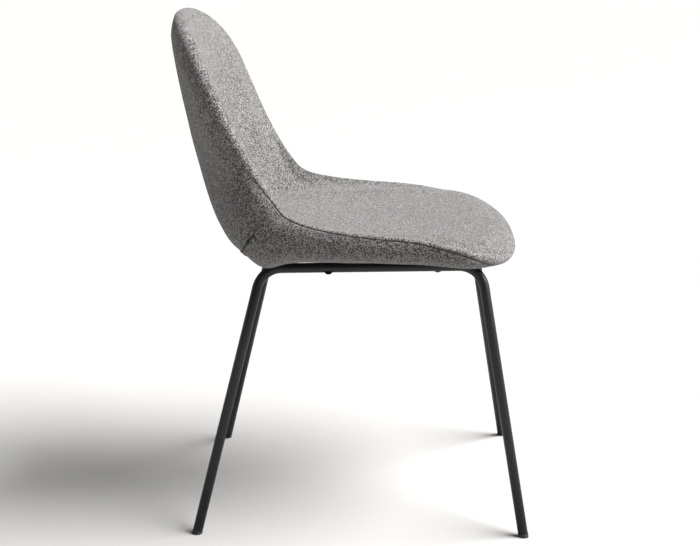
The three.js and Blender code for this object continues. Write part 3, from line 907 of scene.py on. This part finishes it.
def pucker():
    """The cloth gathers a little between stitches: two beating sine waves along the seam."""
    along = np.arange(len(EDGE))
    return 0.2 * np.sin(along * 2.1 + 2 * np.sin(along * 0.37)) * (1 - softness(EDGE[:, 0]))


GROOVE = 1 - ramp(EDGE[:, 0], 480, 560)


def hidden_back(height, insets):
    rows = [ring(51 - 0.5 * k) for k in range(3)]
    rows = [(middle(*place.T) + normal(*place.T) * height, place) for place, deep in rows]
    return rows + [shell_row(inset, height) for inset in insets]


inner_rows = hidden_back(BOARD_FACE, (40, 30, 22))
inner_rows += [shell_row(shared(9, 19, 19), 3.0)]
inner_rows += [roll_row(0, sink) for sink in (3.2, 1.8, 0.8)]
inner_rows += [roll_row(0.03, 0.2)] + [roll_row(turn) for turn in np.linspace(0.09, 1, 15)]
FIRM_INSETS = [4.8, 6.0, 7.2, 8.5, 10, 12, 14, 17, 20.5, 24.5, 29, 35, 42, 50]
NOSE_INSETS = [5, 7, 9, 11, 13.5, 16, 19, 22, 25.5, 29, 33, 38, 44, 50]
SOFT_INSETS = [9, 10.6, 12.3, 14.2, 16.3, 18.6, 21, 24, 27, 30.5, 34.5, 39, 44.5, 50]
inner_rows += [face_row(shared(*insets), inner_height, INNER_SEED)
               for insets in zip(FIRM_INSETS, NOSE_INSETS, SOFT_INSETS)]
inner_rows += [face_row(share, inner_height, INNER_SEED) for share in INNER_SHARES]


# %% Rows of the outer pad
def outer_lip(past, depth, soft_past, soft_depth):
    """A row of the outer side `past` the seam, `depth` below the cloth. It starts level with the roll
    and comes to its own height within 4.5 mm. Up the back it starts under the round instead."""
    seam_inset, seam_height = roll_point()
    past = soft_past + (past - soft_past) * GROOVE
    depth = soft_depth + (depth - soft_depth) * GROOVE
    face = outer_height(EDGE[:, 0], seam_inset + past)
    near = np.clip(1 - past / 4.5, 0, 1) ** 2
    height = face + (seam_height - 0.2 * GROOVE - face) * near
    return shell_row(seam_inset + past, height + depth + pucker() * GROOVE)


outer_rows = hidden_back(-BOARD_FACE, (40, 30))
outer_rows += [shell_row(shared(16, 24, 24), -4.5), shell_row(shared(8, 18, 18), -3.6)]
outer_rows += [outer_lip(1.5, 2.0, -1.2, 2.4), outer_lip(0.45, 0.9, -0.9, 0.9)]
outer_rows += [outer_lip(0.7, 0.2, 0.3, 0.0), outer_lip(1.7, 0.0, 1.6, 0.0)]
OUTER_FIRM = [4.4, 5.8, 7.2, 10, 13.5, 17.5, 22, 26.5, 32, 40, 50]
OUTER_SOFT = [10, 12, 14.5, 17.5, 20.5, 24, 27.5, 31.5, 36, 42.5, 50]
outer_rows += [face_row(shared(a, b, b), outer_height, OUTER_SEED) for a, b in zip(OUTER_FIRM, OUTER_SOFT)]
outer_rows += [face_row(share, outer_height, OUTER_SEED) for share in INNER_SHARES]


# %% Cover pads
def cloth_places(rows, start):
    """Where each point is on the flat cloth: from the row `start` outwards the distance over the surface
    is laid out square to the outline; inside it the cloth is as flat as the strip."""
    points = np.array([row[0] for row in rows])
    places = np.array([row[1] for row in rows])
    step = np.linalg.norm(np.diff(points, axis=0), axis=2)
    run = np.concatenate([np.zeros((1, points.shape[1])), np.cumsum(step, axis=0)])
    outwards = (run[start] - run)[:start, :, None]
    places[:start] = places[start] - INWARD * outwards
    return points, places


def pad(name, rows, finish, replaced):
    points, places = cloth_places(rows, len(rows) - len(INNER_SHARES))
    faces = grid_quads(*points.shape[:2], closed=True)
    piece = new_piece(name, points, faces, finish, uv=places)
    point_outwards(piece)
    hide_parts(*replaced)
    print(name, len(points), "rows of", points.shape[1])
    return piece


inner_pad = pad("inner_pad", inner_rows, inner_tweed, ("cover_front", "foam_front"))
outer_pad = pad("outer_pad", outer_rows, outer_tweed, ("cover_rear", "foam_rear"))

# %% [markdown]
# ## Swelling the pads
# A stuffed pad is tight cloth over foam that pushes back. A short cloth simulation does the same: the
# roll, the edge and the back against the board are pinned, and pressure swells the rest until the
# cloth carries it. A point may move under three millimetres, so the chair keeps its size.

# %% Cloth simulation
MOST_MOVE = 0.0028
SWELL_FRAMES = 20
SWELL_PRESSURE = 4


def swell(piece, first_free, pinned_depth=0.020):
    """Swells a pad by cloth simulation. Points before `first_free`, which are the hidden back and the
    roll, stay put, and so do those near the edge. A move m becomes MOST_MOVE tanh(m / MOST_MOVE)."""
    mesh = piece.data
    start = np.empty(len(mesh.vertices) * 3)
    mesh.vertices.foreach_get("co", start)
    start = start.reshape(-1, 3)
    uv = np.empty(len(mesh.loops) * 2)
    mesh.uv_layers[0].data.foreach_get("uv", uv)
    corner = np.empty(len(mesh.loops), int)
    mesh.loops.foreach_get("vertex_index", corner)
    place = np.zeros((len(start), 2))
    place[corner] = uv.reshape(-1, 2)
    edge = EDGE * MM
    chunks = np.array_split(np.arange(len(place)), 40)
    near = np.concatenate([np.linalg.norm(place[c][:, None] - edge[None], axis=2).min(1) for c in chunks])
    free = ramp(near, pinned_depth * 0.5, pinned_depth * 2.5) * (np.arange(len(place)) >= first_free)
    group = piece.vertex_groups.new(name="held")
    levels = np.round(1 - free, 2)
    for level in np.unique(levels):
        group.add(np.flatnonzero(levels == level).tolist(), float(level), "REPLACE")
    cloth = use_modifier(piece, "CLOTH", "swelling")
    cloth.settings.quality = 4
    cloth.settings.mass = 0.4
    cloth.settings.tension_stiffness = 12
    cloth.settings.compression_stiffness = 12
    cloth.settings.shear_stiffness = 6
    cloth.settings.bending_stiffness = 2
    cloth.settings.use_pressure = True
    cloth.settings.uniform_pressure_force = SWELL_PRESSURE
    cloth.settings.effector_weights.gravity = 0
    cloth.settings.vertex_group_mass = "held"
    cloth.collision_settings.use_self_collision = False
    cloth.point_cache.frame_start = 1
    cloth.point_cache.frame_end = SWELL_FRAMES
    for frame_number in range(1, SWELL_FRAMES + 1):
        bpy.context.scene.frame_set(frame_number)
    shown = piece.evaluated_get(bpy.context.evaluated_depsgraph_get())
    end = np.empty(len(mesh.vertices) * 3)
    shown.data.vertices.foreach_get("co", end)
    move = end.reshape(-1, 3) - start
    size = np.linalg.norm(move, axis=1, keepdims=True) + 1e-12
    capped = move / size * MOST_MOVE * np.tanh(size / MOST_MOVE)
    piece.modifiers.clear()
    piece.vertex_groups.clear()
    mesh.vertices.foreach_set("co", (start + capped * free[:, None]).ravel())
    mesh.update()
    bpy.context.scene.frame_set(1)
    print(piece.name, "swelled by", round(float(np.linalg.norm(capped, axis=1).max() * 1000), 2), "mm")


swell(inner_pad, (len(inner_rows) - len(FIRM_INSETS) - len(INNER_SHARES)) * ROUND_COUNT)
swell(outer_pad, (len(outer_rows) - len(OUTER_FIRM) - len(INNER_SHARES)) * ROUND_COUNT)
for piece in (inner_pad, outer_pad):
    use_modifier(piece, "SUBSURF", levels=1, render_levels=1)

# %% [markdown]
# ## Seam thread
# The two halves are sewn with dark thread that shows only as short stitches down in the groove. They
# end where the round of the back begins to cover the seam. A stitch is a thin spindle, and they are
# all one mesh, because a seam this long has several hundred.

# %% Stitches
STITCH_STEP = 4.6
SEAM_TOP = 520.0
STITCH_LENGTH = 3.4
STITCH_RADIUS = 0.40


def spindles(centres, along, length, radius, rows=5, count=6):
    """Closed spindles: at share t of the length the radius is radius sqrt(sin(pi t))."""
    side = unit(np.cross(along, np.array([0.31, 0.17, 0.93])))
    up = np.cross(along, side)
    t = np.linspace(0.02, 0.98, rows)
    thick = radius * np.sqrt(np.sin(pi * t))
    a = np.arange(count) * 2 * pi / count
    ring_points = np.cos(a)[:, None] * side[:, None, None] + np.sin(a)[:, None] * up[:, None, None]
    points = centres[:, None, None] + along[:, None, None] * ((t - 0.5) * length)[:, None, None]
    points = points + ring_points * thick[:, None, None]
    one = grid_quads(rows, count, closed=True).tolist()
    one += end_faces(rows, count)
    stride = rows * count
    faces = [[i + k * stride for i in face] for k in range(len(centres)) for face in one]
    u = np.broadcast_to((t * 1000)[:, None], (len(centres), rows, count))
    v = np.broadcast_to((a / (2 * pi) * 1000)[None], (len(centres), rows, count))
    return points.reshape(-1, 3), faces, np.stack([u, v], -1).reshape(-1, 2)


groove, _ = roll_row(-0.03, 1.3)
closed_groove = evenly(np.vstack([groove, groove[:1]]), STITCH_STEP)
heading = unit(np.diff(closed_groove, axis=0))
centres = (closed_groove[1:] + closed_groove[:-1]) / 2
top_stitch = stations_at(np.array([SEAM_TOP]))[0, 1]
below = centres[:, 2] < top_stitch
heading, centres = heading[below], centres[below]
points, faces, uv = spindles(centres, heading, STITCH_LENGTH, STITCH_RADIUS)
seam_thread = new_piece("seam_thread", points, faces, thread_finish, uv=uv)
point_outwards(seam_thread)
print("stitches", len(centres))

# %% [markdown]
# ## Heel zip
# The outer half is closed by a zip across the heel, where the seat turns up into the back. Two folded
# lips of the cover hide it, and near the ends they part a little over the dark tape and its teeth.
# A lip is a flat half round carried along the heel; its cloth has its own run of the weave.

# %% Heel lips and zip
ZIP_HALF = 197.0
ZIP_AT, ZIP_RISE, ZIP_REACH = 426, 23, 199


def heel_path(offset, height, half=ZIP_HALF, count=180):
    """Points across the heel, `offset` from the zip's middle and `height` above the outer cloth. The
    zip's middle is at 426 + 23 (x / 199)^2 along the shell, so that it climbs towards its ends."""
    x = np.linspace(-half, half, count)
    s = ZIP_AT + ZIP_RISE * (x / ZIP_REACH) ** 2 + offset
    deep = stations_at(s)[:, 4] - np.abs(x)
    lift = outer_height(s, deep) - height
    surface_normal = normal(s, x)
    return middle(s, x) + surface_normal * lift[:, None], surface_normal, x


def strip(path, up, profile):
    """Carries profile (across, above) along a path whose surface faces along `up`."""
    ahead = unit(np.gradient(path, axis=0))
    across = unit(np.cross(ahead, up))
    points = path[:, None] + profile[None, :, :1] * across[:, None] + profile[None, :, 1:] * up[:, None]
    faces = grid_quads(len(path), len(profile), closed=True).tolist()
    return points, faces + end_faces(len(path), len(profile))


def lip_profile(width, height, count=14):
    """A flat half round: width cos a across, height sin a above, and less below."""
    a = np.arange(count) * 2 * pi / count
    return np.stack([width / 2 * np.cos(a), np.where(np.sin(a) > 0, height, 0.5 * height) * np.sin(a)], -1)


for name, sign in (("upper", 1), ("lower", -1)):
    gape = 1.0 + 2.0 * ramp(np.abs(np.linspace(-ZIP_HALF, ZIP_HALF, 180)), 160, 185)
    path, up, x = heel_path(sign * (1.75 + gape), 0.1)
    points, faces = strip(path, -up, lip_profile(4.6, 1.3))
    uv = np.stack([np.broadcast_to(x[:, None], points.shape[:2]) + sign * 500,
                   np.broadcast_to(np.arange(14) * 0.8, points.shape[:2])], -1)
    lip = new_piece(f"heel_lip_{name}", points, faces, outer_tweed, uv=uv)
    point_outwards(lip)
    print(lip.name, points.shape)

tape_path, tape_up, _ = heel_path(0, 0.25)
tape_points, tape_faces = strip(tape_path, -tape_up, lip_profile(5.4, 0.5, 8))
tooth_path, tooth_up, _ = heel_path(0, 0.75, ZIP_HALF - 4, 200)
tooth_heading = unit(np.cross(np.gradient(tooth_path, axis=0), tooth_up))
tooth_points, tooth_faces, _ = spindles(tooth_path, tooth_heading, 3.0, 0.55, 4, 6)
slider_points, slider_faces = strip(
    tooth_path[4:10], -tooth_up[4:10], lip_profile(5.2, 1.8, 12)
)
points, faces = joined([
    (tape_points, tape_faces), (tooth_points, tooth_faces), (slider_points, slider_faces),
])
heel_zip = new_piece("heel_zip", points, faces, zip_finish)
point_outwards(heel_zip)
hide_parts("cover_zip")
print("zip teeth", len(tooth_path))

# %% [markdown]
# ## Dust cover
# A sheet of black spunbond closes the underside. Its edge is folded under and stapled to the board, and
# it hangs a hair lower between the staples. It is a grid on the outer surface whose last rows stand a
# little further out, where the edge is folded under.

# %% Dust cover and staples
DUST_S = (80.0, 360.0)
DUST_HALF = 118.0
DUST_OFF = 0.9


def dust_surface(count_s=90, count_x=76, fold=9.0):
    """(s, x) on a rectangle, lifted off the cloth, thicker along the fold, and
    sagging as a low bulge with small ripples between the staples."""
    t = np.linspace(0, 1, count_s)[:, None] + np.zeros((1, count_x))
    w = np.linspace(-1, 1, count_x)[None] + np.zeros((count_s, 1))
    s = DUST_S[0] + (DUST_S[1] - DUST_S[0]) * t
    x = DUST_HALF * w
    from_edge = np.minimum(np.minimum(s - DUST_S[0], DUST_S[1] - s), DUST_HALF - np.abs(x))
    ripple = np.sin(s * 2 * pi / 31) * np.sin(x * 2 * pi / 29)
    off = DUST_OFF + 0.9 * (1 - ramp(from_edge, fold - 1, fold + 1)) * 0.6 + 1.6 * ramp(from_edge, 8, 60)
    off = off + 0.22 * ripple * ramp(from_edge, 3, 12)
    deep = stations_at(s)[..., 4] - np.abs(x)
    lift = outer_height(s, deep) - off
    return s, x, middle(s, x) + normal(s, x) * lift[..., None]


s, x, cloth_points = dust_surface()
quads = grid_quads(*s.shape)
dust = new_piece("dust_sheet", cloth_points, quads, spunbond_finish, uv=np.stack([s, x], -1))
point_outwards(dust)
use_modifier(dust, "SOLIDIFY", thickness=0.0005, offset=-1.0)
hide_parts("dust_cover")

STAPLE_GAP = 31.0
STAPLE_INSET = 5.0
STAPLE_HALF = 5.0
near_s, far_s, side_x = DUST_S[0] + STAPLE_INSET, DUST_S[1] - STAPLE_INSET, DUST_HALF - STAPLE_INSET
corners = [(near_s, -side_x), (far_s, -side_x), (far_s, side_x), (near_s, side_x)]
round_trip = np.array([(*corner, 0.0) for corner in corners + corners[:1]])
loop = evenly(round_trip, STAPLE_GAP)[:-1]
along = unit(np.roll(loop, -1, 0) - np.roll(loop, 1, 0))
ends = [loop[:, :2] + along[:, :2] * reach for reach in (-STAPLE_HALF, 0.0, STAPLE_HALF)]
crowns = []
for end in ends:
    deep = stations_at(end[:, 0])[:, 4] - np.abs(end[:, 1])
    lift = outer_height(end[:, 0], deep) - DUST_OFF - 1.0
    crowns.append(middle(*end.T) + normal(*end.T) * lift[:, None])
staple_points, staple_faces, _ = spindles(crowns[1], unit(crowns[2] - crowns[0]), 2 * STAPLE_HALF, 0.55, 5, 6)
staples = new_piece("dust_staples", staple_points, staple_faces, zinc_finish)
point_outwards(staples)
print("staples", len(loop))

# %% [markdown]
# ## Studio
# A pale floor runs far back, so that it is also the backdrop. One wide, far source in front and above
# lights the seat and the face of the back, and a weak lamp behind draws the rear edge. The sides are
# left in shade, lit mostly by what the floor throws back and by a dim even sky.

# %% Floor
def pale_floor():
    material, shader, place = new_finish("pale_floor", Roughness=0.75, Specular_IOR_Level=0.15)
    grain = place.noise(40, 3.0)
    colour = (grain * 0.5).choose((0.420, 0.414, 0.405, 1), (0.410, 0.404, 0.395, 1))
    dress(shader, Base_Color=colour)
    return material


FLOOR_HALF = 40000.0
floor_points = np.array([(-1, -1, 0), (1, -1, 0), (1, 1, 0), (-1, 1, 0)], float) * FLOOR_HALF
floor = new_piece("floor", floor_points, [[0, 1, 2, 3]], pale_floor(), smooth=False, rider=False)


# %% Lamps
def lamp(name, place, target, size, power, tint=(1, 1, 1)):
    """A square area lamp at a place, turned towards a target."""
    data = bpy.data.lights.new(name, "AREA")
    data.size = size
    data.energy = power
    data.color = tint
    thing = bpy.data.objects.new(name, data)
    away = np.array(place) - np.array(target)
    thing.location = place
    thing.rotation_euler = (atan2(np.hypot(away[0], away[1]), away[2]), 0, atan2(away[0], -away[1]))
    bpy.context.scene.collection.objects.link(thing)
    return thing


def sun(name, towards, power, spread):
    """Even light from a far, wide source, seen from the chair in the direction `towards`."""
    data = bpy.data.lights.new(name, "SUN")
    data.energy = power
    data.angle = radians(spread)
    thing = bpy.data.objects.new(name, data)
    x, y, z = towards
    thing.rotation_euler = (atan2(np.hypot(x, y), z), 0, atan2(x, -y))
    bpy.context.scene.collection.objects.link(thing)
    return thing


CHAIR_MIDDLE = (0, 0, 0.5)
KEY_TOWARDS = (-0.06, -0.70, 0.71)
sun("key", KEY_TOWARDS, 10.6, 50)
lamp("rear_lamp", (0.7, 2.8, 1.0), CHAIR_MIDDLE, 1.2, 6)
world = bpy.data.worlds.new("studio")
world.use_nodes = True
sky = world.node_tree.nodes["Background"]
sky.inputs["Color"].default_value = (0.97, 0.98, 1.0, 1)
sky.inputs["Strength"].default_value = 0.14
bpy.context.scene.world = world
print("lamps ready")
